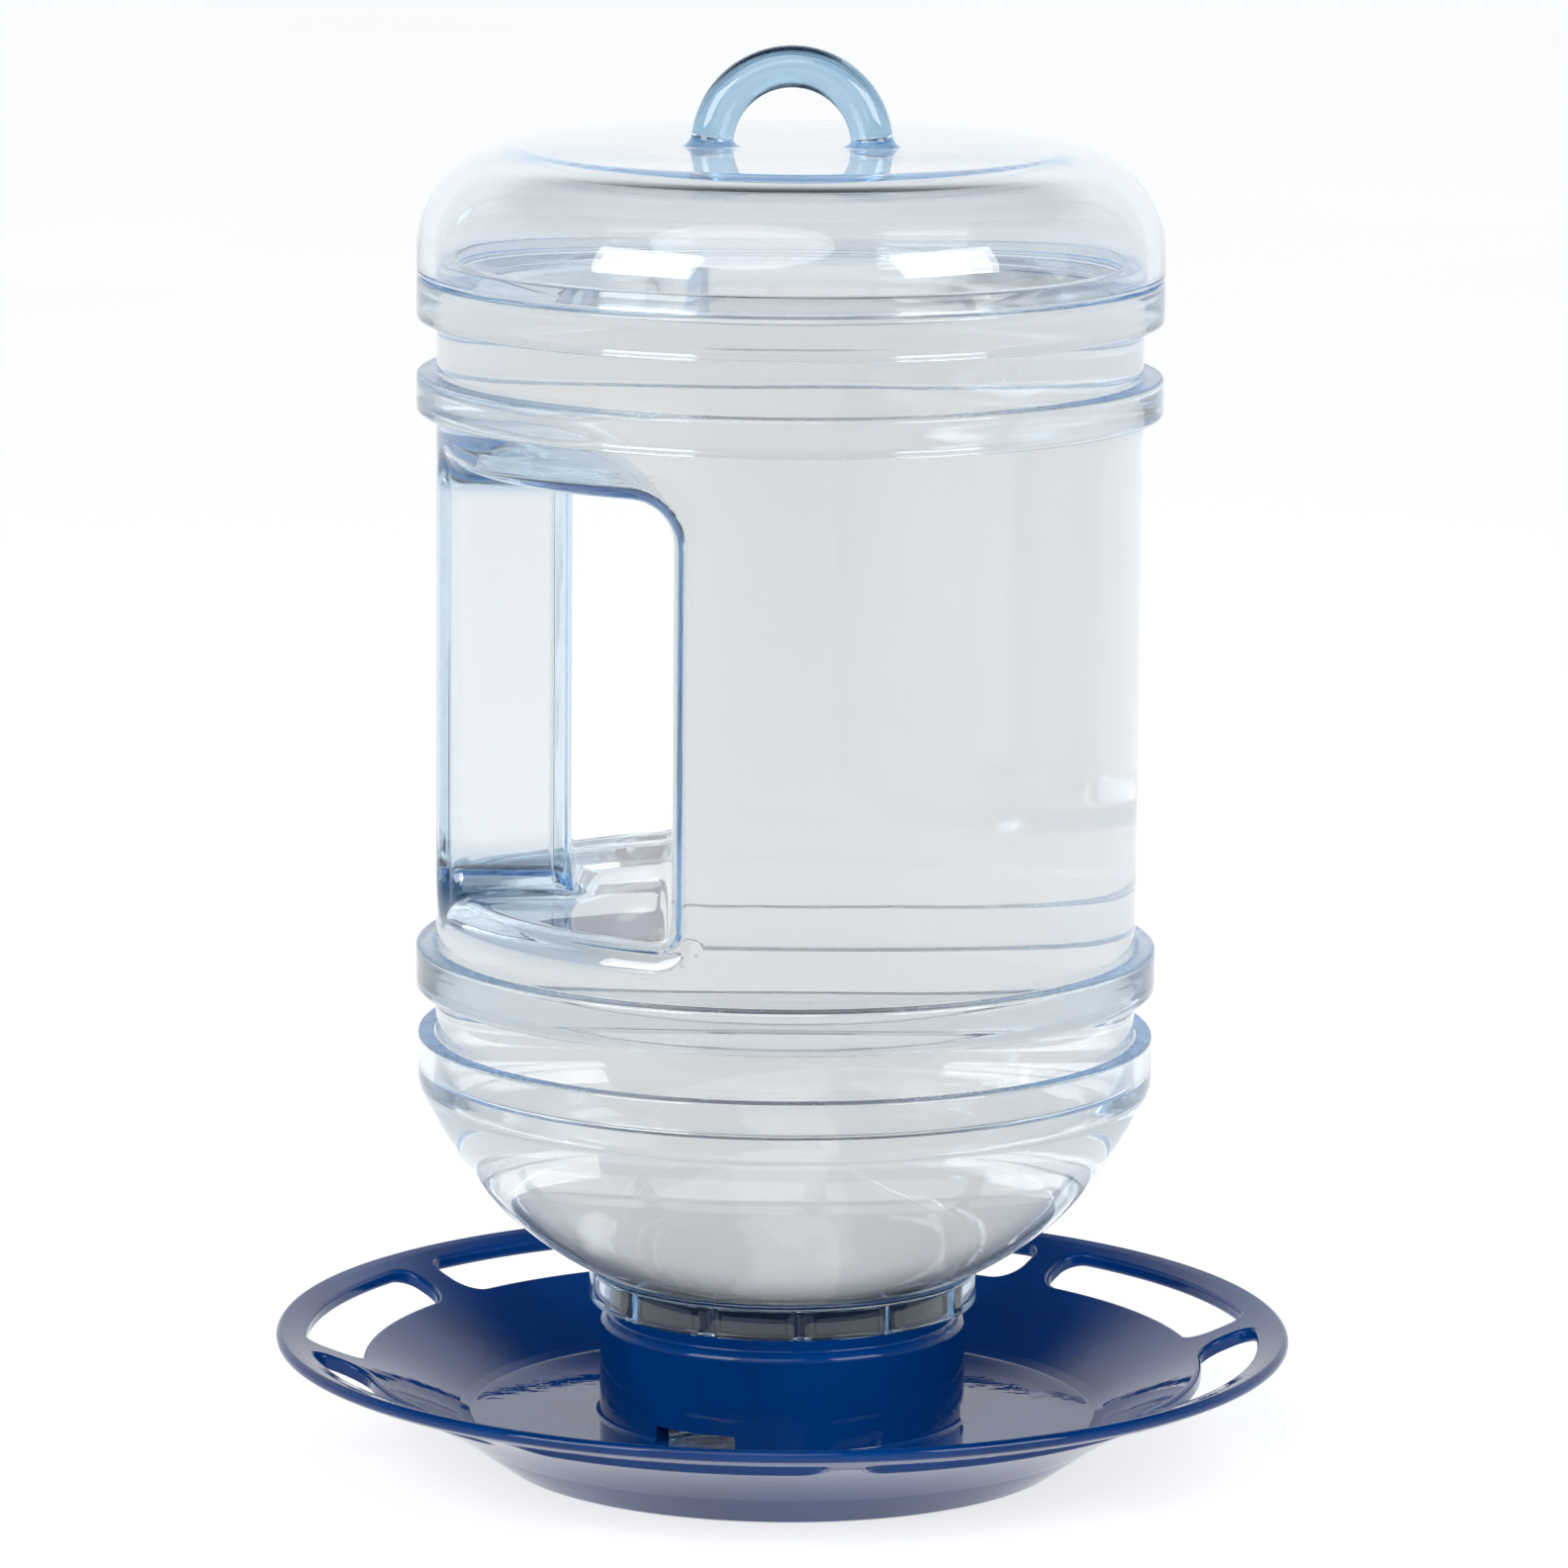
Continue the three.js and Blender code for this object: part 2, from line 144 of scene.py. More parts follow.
def add_piece(name, points, normals, faces, flat=()):
    """A smooth mesh piece in metres with its own normals. Faces listed in flat keep sharp edges."""
    mesh = bpy.data.meshes.new(name)
    mesh.from_pydata((np.asarray(points) * MM).tolist(), [], faces)
    mesh.polygons.foreach_set("use_smooth", [True] * len(faces))
    corner = np.empty(len(mesh.loops), int)
    mesh.loops.foreach_get("vertex_index", corner)
    split = unit(np.asarray(normals))[corner]
    for f in flat:
        polygon = mesh.polygons[f]
        split[polygon.loop_start : polygon.loop_start + polygon.loop_total] = polygon.normal
    mesh.normals_split_custom_set(split.tolist())
    piece = bpy.data.objects.new(name, mesh)
    bpy.context.scene.collection.objects.link(piece)
    return piece


def turned(profile, normals, angles):
    """Columns of points and normals of a profile turned about Z: arrays (angle, profile, xyz)."""
    c, s = np.cos(angles)[:, None], np.sin(angles)[:, None]
    up = np.ones_like(c)
    place = np.stack([profile[:, 0] * c, profile[:, 0] * s, profile[:, 1] * up], 2)
    facing = np.stack([normals[:, 0] * c, normals[:, 0] * s, normals[:, 1] * up], 2)
    return place, facing


def grid_faces(rows, columns, start=0, wrap_rows=True, wrap_columns=False):
    """Quads over a grid of rows (round the turn) by columns (along the profile)."""
    faces = []
    for j in range(rows if wrap_rows else rows - 1):
        a, b = start + j * columns, start + ((j + 1) % rows) * columns
        for i in range(columns if wrap_columns else columns - 1):
            k = (i + 1) % columns
            faces.append((a + i, b + i, b + k, a + k))
    return faces


def grid_normals(place):
    """Normals of a closed grid of points from its own slopes."""
    across = np.roll(place, -1, 0) - np.roll(place, 1, 0)
    along = np.roll(place, -1, 1) - np.roll(place, 1, 1)
    return unit(np.cross(across, along))


def lathe(name, profile, normals, shift=None):
    """Closed ring piece. shift(angles, profile) moves points outwards, in millimetres."""
    place, facing = turned(profile, normals, ANGLES)
    if shift is not None:
        move = shift(ANGLES[:, None], profile[None])
        place[..., 0] += move * np.cos(ANGLES)[:, None]
        place[..., 1] += move * np.sin(ANGLES)[:, None]
        moved = np.abs(move) > 1e-6
        for axis in (0, 1):
            moved |= np.roll(moved, 1, axis) | np.roll(moved, -1, axis)
        facing[moved] = grid_normals(place)[moved]
    faces = grid_faces(len(ANGLES), len(profile), wrap_columns=True)
    return add_piece(name, place.reshape(-1, 3), facing.reshape(-1, 3), faces)


# --- distance fields for the barrel ---


def round_both(a, b, size):
    """Inside both fields, with the edge between them rounded."""
    edge = np.hypot(np.maximum(size + a, 0), np.maximum(size + b, 0))
    return np.minimum(-size, np.maximum(a, b)) + edge


def ring_box(radius, height, outer, bottom, top, size):
    """Field of a cylinder about Z with rounded edges."""
    return round_both(radius - outer, np.abs(height - (bottom + top) / 2) - (top - bottom) / 2, size)


def surface_net(field, angles, radii, heights):
    """Points, normals and faces of the surface where a field(radius, angle, height) is zero.

    The grid follows circles about Z, so rings stay rings. Where the inside reaches the axis, a flat
    face closes the surface within the innermost ring."""
    value = field(radii[None, :, None], angles[:, None, None], heights[None, None, :])
    value = np.broadcast_to(value, (len(angles), len(radii), len(heights)))
    inside = value < 0
    wrap = lambda a: np.concatenate([a, a[:1]], 0)
    v, s = wrap(value), wrap(inside)
    cells = (len(angles), len(radii) - 1, len(heights) - 1)
    total = np.zeros(cells + (3,))
    hits = np.zeros(cells)
    turns = np.append(angles, angles[0] + TURN)
    axes = (turns, radii, heights)
    for axis in range(3):
        lo = [slice(None)] * 3
        hi = [slice(None)] * 3
        lo[axis], hi[axis] = slice(0, -1), slice(1, None)
        a, b = v[tuple(lo)], v[tuple(hi)]
        cross = s[tuple(lo)] != s[tuple(hi)]
        t = np.where(cross, a / np.where(cross, a - b, 1), 0)
        place = []
        for k in range(3):
            shape = [1, 1, 1]
            shape[k] = -1
            if k == axis:
                first = axes[k][:-1].reshape(shape)
                gap = np.diff(axes[k]).reshape(shape)
                place.append(first + t * gap)
            else:
                place.append(np.broadcast_to(axes[k].reshape(shape), t.shape))
        place = np.stack(place, -1) * cross[..., None]
        others = [k for k in range(3) if k != axis]
        for da in (0, 1):
            for db in (0, 1):
                pick = [slice(None)] * 3
                pick[others[0]] = slice(da, da + cells[others[0]])
                pick[others[1]] = slice(db, db + cells[others[1]])
                total += place[tuple(pick)]
                hits += cross[tuple(pick)]
    active = hits > 0
    number = np.full(cells, -1)
    number[active] = np.arange(active.sum())
    polar = total[active] / hits[active][:, None]
    points = np.stack([polar[:, 1] * np.cos(polar[:, 0]), polar[:, 1] * np.sin(polar[:, 0]), polar[:, 2]], 1)

    def at(p):
        return field(np.hypot(p[:, 0], p[:, 1]), np.arctan2(p[:, 1], p[:, 0]), p[:, 2])

    def slope(p, step=0.01):
        parts = [at(p + step * e) - at(p - step * e) for e in np.eye(3)]
        return np.stack(parts, 1) / (2 * step)

    for _ in range(3):
        g = slope(points)
        points = points - np.clip(at(points) / np.maximum((g * g).sum(1), 0.2), -1, 1)[:, None] * g
    normals = unit(slope(points))
    quads = []
    ring = np.arange(len(angles))
    for axis in range(3):
        lo = [slice(None)] * 3
        hi = [slice(None)] * 3
        lo[axis], hi[axis] = slice(0, -1), slice(1, None)
        near, far = s[tuple(lo)], s[tuple(hi)]
        i, j, k = np.nonzero(near != far)
        out = near[i, j, k]
        if axis != 0:
            keep = i < len(angles)
            i, j, k, out = i[keep], j[keep], k[keep], out[keep]
        index = [i, j, k]
        u, w = [m for m in range(3) if m != axis]
        corners = []
        for du, dw in ((-1, -1), (0, -1), (0, 0), (-1, 0)):
            at_cell = list(index)
            at_cell[u] = at_cell[u] + du
            at_cell[w] = at_cell[w] + dw
            cell = number[at_cell[0] % len(ring), at_cell[1], at_cell[2]]
            corners.append(np.where(at_cell[1] < 0, -1, cell))
        quad = np.stack(corners, 1)
        flip = out if axis != 1 else ~out
        quad[flip] = quad[flip][:, ::-1]
        quads.append(quad[(quad >= 0).all(1)])
    faces = np.concatenate(quads).tolist()
    for level in np.nonzero(number[0, 0] >= 0)[0]:
        loop = number[:, 0, level].tolist()
        faces.append(loop if normals[loop[0], 2] > 0 else loop[::-1])
    return points, normals, faces


def spread(stops, spacing):
    """Grid lines through all the stops, no further apart than the spacing."""
    lines = [stops[0]]
    for a, b in zip(stops, stops[1:]):
        count = max(1, math.ceil((b - a) / spacing - 1e-6))
        lines.extend(a + (b - a) * np.arange(1, count + 1) / count)
    return np.array(lines)


# --- clear bottle ---

BARREL_RADIUS = 54.4
BARREL_BORE = BARREL_RADIUS - SHELL
BAND_RADIUS = BARREL_HIGH[0]
SHOULDER = 185.85  # top of the barrel, where the spigot starts
BANDS = ((75, 81.8), (164.9, 170.9), (179.2, SHOULDER))
SPIGOT_RADIUS = 54.1
LIP = 4.6  # rounding where the recess breaks through the barrel
RECESS_FACE = -17.1
RECESS_FLOOR = 90.5
RECESS_CEILING = 157
GRIP_FACE = -33.2
GRIP_HALF_WIDTH = 10


def recessed(radius, angle, height):
    """Field of the endless barrel with the carrying recess and its grip."""
    x, y = radius * np.cos(angle), radius * np.sin(angle)
    floor = round_both(x - RECESS_FACE, RECESS_FLOOR - height, 2.6)
    ceiling = round_both(x - RECESS_FACE, height - RECESS_CEILING, 6.4)
    column = round_both(x - GRIP_FACE, np.abs(y) - GRIP_HALF_WIDTH, 2)
    space = round_both(np.maximum(floor, ceiling), -column, 4.3)
    return round_both(radius - BARREL_RADIUS, -space, LIP)


def barrel_field(radius, angle, height):
    """Field of the barrel's wall with its bands and spigot, open inside."""
    body = recessed(radius, angle, height)
    outer = np.maximum(body, np.maximum(BARREL_LOW[2] - height, height - SHOULDER))
    for bottom, top in BANDS:
        outer = np.minimum(outer, ring_box(radius, height, BAND_RADIUS, bottom, top, 0.7))
    spigot = ring_box(radius, height, SPIGOT_RADIUS, SHOULDER - 8, BARREL_HIGH[2], 0.4)
    return np.maximum(np.minimum(outer, spigot), -(body + SHELL))


NEAR_RECESS = (spread([86, 99], 1), spread([148, 163], 1))  # finer grid at the recess's floor and ceiling


def barrel_shell():
    """Closed shell of the barrel, with grid lines set close to every edge of its bands and ends."""
    edges = []
    for bottom, top in BANDS:
        edges += [bottom + off for off in (-0.25, 0, 0.25, 0.5, 0.75)]
        edges += [top + off for off in (-0.75, -0.5, -0.25, 0, 0.25)]
    edges += [BARREL_LOW[2] + off for off in (-0.4, -0.1, 0.2)]
    edges += [BARREL_HIGH[2] + off for off in (-0.45, -0.15, 0.2, 0.5)] + [86, 99, 148, 163]
    coarse = spread(sorted(edges), 3)
    heights = np.unique(np.concatenate([coarse, *NEAR_RECESS]))
    radii = spread([13, 49.6, 51.2, 52, 53.9, 54.6, 56.6, 57.2, 57.8], 1.2)
    radii = np.unique(np.concatenate([radii, [51.45, 51.75, 54.25, 57.35, 57.65, 58.1]]))
    angles = TURN * np.arange(264) / 264
    return add_piece("barrel_shell", *surface_net(barrel_field, angles, radii, heights))


BOWL_CENTRE = (8, 78)
BOWL_SIZE = 52.3
BOWL_INSIDE = BOWL_SIZE - SHELL
BOWL_EASE = 22  # the bore turns into the bowl along this radius
EASE_OUT = BARREL_BORE - BOWL_EASE
EASE_CENTRE = (EASE_OUT, BOWL_CENTRE[1] - math.sqrt((BOWL_INSIDE - BOWL_EASE) ** 2 - (EASE_OUT - BOWL_CENTRE[0]) ** 2))
MOUTH_BORE = 21.2
WATER_BOTTOM = BOWL_LOW[2] + 0.3
WATER_LEVEL = 185.6  # just under the dome
SOAK = 0.1  # the water reaches this far into the walls, so that no film of air shows


def bowl_shell():
    """Ring with a rim, a curved bowl, a ribbed skirt and a threaded mouth."""
    centre, size, inside = BOWL_CENTRE, BOWL_SIZE, BOWL_INSIDE
    mouth, mouth_bore, skirt, skirt_bore = 23.6, MOUTH_BORE, 30.3, 28.0
    bottom, skirt_bottom = BOWL_LOW[2], 24.9
    rim, rim_bottom, rim_top, ledge = BOWL_HIGH[0], 61.3, BOWL_HIGH[2], 62.0
    turn_at = lambda r, s: math.degrees(-math.acos((r - centre[0]) / s))
    height = lambda r, s: centre[1] - math.sqrt(s * s - (r - centre[0]) ** 2)
    edge = arc((rim - 6.8, rim_bottom), 6.8, -21.5, 0, 8)
    eased = math.degrees(math.atan2(EASE_CENTRE[1] - centre[1], EASE_CENTRE[0] - centre[0]))
    wall = np.stack([np.full(60, mouth), np.linspace(bottom, height(mouth, size), 62)[1:-1]], 1)
    skirt_top = height(skirt_bore, size)
    skirt_wall = np.stack([np.full(12, skirt_bore), np.linspace(skirt_top, skirt_bottom, 14)[1:-1]], 1)
    profile, normals = outline([
        (mouth_bore, bottom, 0.6),
        (mouth, bottom, 0.6),
        wall,
        (mouth, height(mouth, size), 0.6),
        arc(centre, size, turn_at(mouth, size), turn_at(skirt_bore, size), 5)[1:-1],
        (skirt_bore, skirt_top, 0.5),
        skirt_wall,
        (skirt_bore, skirt_bottom, 0.4),
        (skirt, skirt_bottom, 0.5),
        (skirt, height(skirt, size), 0.9),
        arc(centre, size, turn_at(skirt, size), turn_at(edge[0, 0], size), 60)[1:-1],
        (edge[0, 0], edge[0, 1], 12),
        edge[1:],
        (rim, rim_top, 0.6),
        (BARREL_RADIUS + 0.3, rim_top, 0.35),
        (BARREL_RADIUS + 0.3, ledge, 0.2),
        (BARREL_BORE, ledge, 0.2),
        arc(EASE_CENTRE, BOWL_EASE, 0, eased, 20),
        arc(centre, inside, eased, turn_at(mouth_bore, inside), 50)[1:-1],
        (mouth_bore, height(mouth_bore, inside), 0.8),
    ])
    rib_angle = math.radians(6)

    def shift(angles, points):
        """Twelve ribs inside the skirt and a bead of thread round the mouth."""
        radius, level = points[..., 0], points[..., 1]
        off = (angles - rib_angle + TURN / 24) % (TURN / 12) - TURN / 24
        rib = np.clip(1.5 - np.abs(off) * skirt_bore / 0.75, 0, 1)
        on_skirt = (np.abs(radius - skirt_bore) < 0.05) & (level < 29.4)
        bead = thread(angles, level, 11.6)
        on_mouth = (np.abs(radius - mouth) < 0.05) & (level < 27.6)
        return bead * on_mouth - 0.8 * rib * on_skirt

    return lathe("bowl_shell", profile, normals, shift)


def below(centre, size, radius, height):
    """Field of a bowl: an arc about the centre, upright above it."""
    return np.hypot(np.maximum(radius - centre[0], 0), np.minimum(height - centre[1], 0)) - size


def water_field(radius, angle, height):
    """Field of the bottle's inside: the barrel, the bowl with its easy turn, and the mouth."""
    bottle = recessed(radius, angle, height) + SHELL - SOAK
    bowl = below(BOWL_CENTRE, BOWL_INSIDE + SOAK, radius, height)
    ease = below(EASE_CENTRE, BOWL_EASE + SOAK, radius, height)
    slope = (EASE_CENTRE[1] - BOWL_CENTRE[1]) / (EASE_CENTRE[0] - BOWL_CENTRE[0])
    bowl = np.where(height - BOWL_CENTRE[1] > slope * (radius - BOWL_CENTRE[0]), ease, bowl)
    mouth = np.maximum(radius - MOUTH_BORE - SOAK, height - 40)
    inside = np.minimum(np.maximum(bottle, bowl), mouth)
    return np.maximum(inside, np.maximum(height - WATER_LEVEL, WATER_BOTTOM - height))


def water_body():
    """Water that fills the bottle from its mouth to just under the dome."""
    edges = [WATER_BOTTOM + off for off in (-0.4, -0.1, 0.2, 0.6)] + [24, 34]
    edges += [WATER_LEVEL + off for off in (-1.2, -0.4, -0.1, 0.15, 0.5)]
    heights = np.unique(np.concatenate([spread(edges, 2.6), *NEAR_RECESS]))
    radii = spread([1.5, 12, 20.6, 21, 21.6, 50.9, 51.5, 51.85, 52.4], 1.2)
    angles = TURN * np.arange(240) / 240
    return add_piece("water", *surface_net(water_field, angles, radii, heights))


def thread(angles, level, start):
    """Height of a round bead of thread above its wall: 1.25 turns, 5 mm a turn."""
    pitch, size, turns = 5.0, 1.35, 1.25
    best = np.zeros(np.broadcast(angles, level).shape)
    for turn in range(2):
        along = angles / TURN + turn
        off = level - start - pitch * along
        fade = np.clip((turns - along) * 12, 0, 1) * np.clip(along * 12, 0, 1)
        bead = np.sqrt(np.maximum(size**2 - off**2, 0)) * fade
        best = np.maximum(best, bead)
    return best


LOOP_TOP = DOME_HIGH[2]
LOOP_BAR = 3.25
LOOP_RADIUS = 15.5 - LOOP_BAR
DOME_TOP = 205.6


def loop_rings(sides=40, steps=56, flare=1.6):
    """Rings of points round the hanging loop, from one foot to the other, with a fillet at each foot."""
    level = LOOP_TOP - LOOP_RADIUS - LOOP_BAR
    foot = math.asin((DOME_TOP - level) / LOOP_RADIUS)
    above = math.asin((DOME_TOP + flare - level) / LOOP_RADIUS)
    swing = np.radians(np.linspace(0, 90, 7))
    low = [(foot + (above - foot) * (1 - math.cos(s)), LOOP_BAR + flare * (1 - math.sin(s))) for s in swing]
    mid = [(a, LOOP_BAR) for a in np.linspace(above, math.pi - above, steps)[1:-1]]
    path = low + mid + [(math.pi - a, size) for a, size in low[::-1]]
    turn = TURN * np.arange(sides) / sides
    rings = []
    for a, size in path:
        out = np.array([math.cos(a), 0, math.sin(a)])
        centre = np.array([0, 0, level]) + LOOP_RADIUS * out
        across = np.cos(turn)[:, None] * out + np.sin(turn)[:, None] * np.array([0, 1, 0])
        rings.append(centre + size * across)
    for ring in (rings[0], rings[-1]):
        ring[:, 2] = DOME_TOP
    return np.array(rings)


def dome_shell():
    """Shell of revolution whose flat top is pierced where the loop's feet grow out of it."""
    shoulder, disc = 16, 22.0
    radius, bottom = DOME_HIGH[0], DOME_LOW[2]
    centre = (radius - shoulder, DOME_TOP - shoulder)
    inside_top = DOME_TOP - SHELL
    profile, normals = outline([
        (0, inside_top, 0),
        arc(centre, shoulder - SHELL, 90, 0, 40),
        (radius - SHELL, bottom, 0.3),
        (radius, bottom, 0.5),
        arc(centre, shoulder, 0, 90, 48),
        (disc, DOME_TOP, 0),
    ], closed=False)
    profile, normals = profile[1:], normals[1:]
    place, facing = turned(profile, normals, ANGLES)
    count = len(profile)
    points, up = [*place.reshape(-1, 3)], [*facing.reshape(-1, 3)]
    faces = grid_faces(STEPS, count)
    pole = len(points)
    points.append(np.array([0, 0, inside_top]))
    up.append(np.array([0, 0, -1]))
    faces += [(pole, ((j + 1) % STEPS) * count, j * count) for j in range(STEPS)]
    rings = loop_rings()
    start = len(points)
    points += [*rings.reshape(-1, 3)]
    outward = unit(np.cross(np.gradient(rings, axis=0), np.roll(rings, -1, 1) - np.roll(rings, 1, 1)))
    middle = rings.mean(1, keepdims=True)
    outward *= np.sign(((rings - middle) * outward).sum(2, keepdims=True))
    outward[[0, -1]] = (0, 0, 1)
    up += [*outward.reshape(-1, 3)]
    sides = rings.shape[1]
    for j in range(len(rings) - 1):
        for i in range(sides):
            k = (i + 1) % sides
            a, b = start + j * sides, start + (j + 1) * sides
            faces.append((a + i, a + k, b + k, b + i))
    edge = [j * count + count - 1 for j in range(STEPS)]
    feet = [[start + row * sides + i for i in range(sides)] for row in (0, len(rings) - 1)]
    loops = [edge, *feet]
    order = [v for loop in loops for v in loop]
    flat = [[Vector(points[v]) for v in loop] for loop in loops]
    for tri in geometry.tessellate_polygon(flat):
        a, b, c = [order[k] for k in tri]
        area = np.cross(points[b] - points[a], points[c] - points[a])[2]
        faces.append((a, b, c) if area > 0 else (a, c, b))
    return add_piece("dome_shell", points, up, faces)


# --- seal and tray ---


def seal_ring():
    """Soft ring round the collar's neck, a little higher at its outside."""
    low, high = SEAL_LOW[2], SEAL_HIGH[2]
    profile, normals = outline([
        (24, low, 0.3),
        (SEAL_HIGH[0], low, 0.6),
        (SEAL_HIGH[0], high + 1.2, 0.3),
        (24, high - 0.4, 0.3),
    ])
    return lathe("seal_ring", profile, normals)


RIM_RADIUS = TRAY_HIGH[0]
RIM_HEIGHT = 20.25
TRAY_WALL = 2.3
RIM_EDGE = 1.05
FLOOR = 6.5
DISH_START = np.array([50.6, 7.3])
DISH_END = np.array([RIM_RADIUS - RIM_EDGE, RIM_HEIGHT])
DISH_BEND = math.radians(16)
SLOT_BAND = (64.0, 76.2)  # radii between which the slots lie
SLOT = (65.8, 74.5, 4.2, 2.8)  # inner and outer radius, inner and outer corner
SLOT_END_STEPS = 18
WEB = 6.0  # between two slots
EDGE = 0.7  # rounding of the slots' edges


def dish_arc():
    """Centre, radius and end angles in degrees of the arc that the dish's upper surface follows."""
    chord = DISH_END - DISH_START
    radius = np.linalg.norm(chord) / (2 * math.sin(DISH_BEND / 2))
    rise = math.atan2(chord[1], chord[0]) + math.pi / 2
    reach = radius * math.cos(DISH_BEND / 2)
    centre = (DISH_START + DISH_END) / 2 - reach * np.array([math.cos(rise), math.sin(rise)])
    return centre, radius, math.degrees(rise + DISH_BEND / 2), math.degrees(rise - DISH_BEND / 2)


DISH_CENTRE, DISH_RADIUS, DISH_FIRST, DISH_LAST = dish_arc()


def dish(radius, side):
    """Height and unit normal (outwards, upwards) of the dish's upper (1) or under (0) surface."""
    size = DISH_RADIUS - (0 if side else TRAY_WALL)
    off = radius - DISH_CENTRE[0]
    rise = np.sqrt(size**2 - off**2)
    normal = np.stack([off, rise], -1) / size * (1 if side else -1)
    return DISH_CENTRE[1] + rise, normal


def slot_outline(side_steps, end_steps):
    """Plan of the slot after the first web: points and normals into the slot, from its inner side on."""
    inner, outer, inner_corner, outer_corner = SLOT
    web, nxt = WEB_ANGLE, WEB_ANGLE + TURN / SECTORS
    ro, ri = outer - outer_corner, inner + inner_corner
    so = math.asin((WEB / 2 + outer_corner) / ro)
    si = math.asin((WEB / 2 + inner_corner) / ri)
    polar = lambda r, a: np.array([r * math.cos(a), r * math.sin(a)])

    def sweep(centre, size, a, b, count=40):
        t = np.linspace(a, b, count)
        return centre + size * np.stack([np.cos(t), np.sin(t)], 1)

    q = math.pi / 2
    inner_side = sweep(0, inner, web + si, nxt - si, 80)
    far_end = np.concatenate([
        sweep(polar(ri, nxt - si), inner_corner, nxt - si + 2 * q, nxt + q),
        sweep(polar(ro, nxt - so), outer_corner, nxt + q, nxt - so),
    ])
    outer_side = sweep(0, outer, nxt - so, web + so, 80)
    near_end = np.concatenate([
        sweep(polar(ro, web + so), outer_corner, web + so, web - q),
        sweep(polar(ri, web + si), inner_corner, web - q, web + si - 2 * q),
    ])
    loop = []
    parts = (inner_side, far_end, outer_side, near_end)
    for part, count in zip(parts, (side_steps, end_steps) * 2):
        length = np.concatenate([[0], np.cumsum(np.linalg.norm(np.diff(part, axis=0), axis=1))])
        at = np.linspace(0, length[-1], count + 1)[:-1]
        loop.append(np.stack([np.interp(at, length, part[:, k]) for k in (0, 1)], 1))
    loop = np.concatenate(loop)
    along = unit(np.roll(loop, -1, 0) - np.roll(loop, 1, 0))
    return loop, np.stack([along[:, 1], -along[:, 0]], 1)


def band_border(side_steps, end_steps):
    """Border of one sector of the slotted band in plan, matching the order of slot_outline."""
    lines = WEB_ANGLE + TURN / SECTORS * np.arange(side_steps + 1) / side_steps
    low, high = SLOT_BAND
    radii = np.linspace(low, high, end_steps + 1)
    polar = lambda r, a: np.stack([r * np.cos(a), r * np.sin(a)], -1)
    return np.concatenate([
        polar(low, lines[:-1]),
        polar(radii[:-1], lines[-1]),
        polar(high, lines[:0:-1]),
        polar(radii[:0:-1], lines[0]),
    ])


def slot_rings():
    """Rings from the band's upper border, over the slot's rounded edge, down its wall and out below."""
    side_steps, end_steps = STEPS // SECTORS, SLOT_END_STEPS
    plan, into = slot_outline(side_steps, end_steps)
    border = band_border(side_steps, end_steps)

    def on_dish(xy, side):
        radius = np.hypot(xy[:, 0], xy[:, 1])
        height, normal = dish(radius, side)
        out = xy / radius[:, None]
        return (np.column_stack([xy, height]),
                np.column_stack([out * normal[:, :1], normal[:, 1]]))

    rings = []
    for side in (1, 0):
        at, normal = on_dish(plan, side)
        tilt = -(normal[:, :2] * into).sum(1) / normal[:, 2]
        sense = 1 if side else -1
        climb = np.arctan(tilt) * sense
        turn = math.pi / 2 + climb
        reach = EDGE * np.tan(turn / 2)
        start = plan - into * (reach * np.cos(climb))[:, None]
        part = []
        for t in (0, 0.3, 0.6, 0.85, 1):
            part.append(on_dish(border + (start - border) * t, side))
        level = at[:, 2] - sense * reach
        base = np.column_stack([plan - into * EDGE, level])
        for t in np.linspace(0, 1, 6)[1:]:
            angle = math.pi / 2 + climb - turn * t
            facing = np.column_stack([into * np.cos(angle)[:, None], sense * np.sin(angle)])
            part.append((base + EDGE * facing, facing))
        rings += part if side else part[::-1]
    points = np.array([r[0] for r in rings])
    normals = np.array([r[1] for r in rings])
    return points, normals


COLLAR = 28.6
COLLAR_BORE = 25.8
COLLAR_TOP = 22.2
NECK = 27.0
NECK_TOP = 24.6
PORT_TOP = FLOOR + 2.6
PORT_ANGLE = math.radians(2)  # middle of one of the three ports
PORT_HALF = math.radians(14)


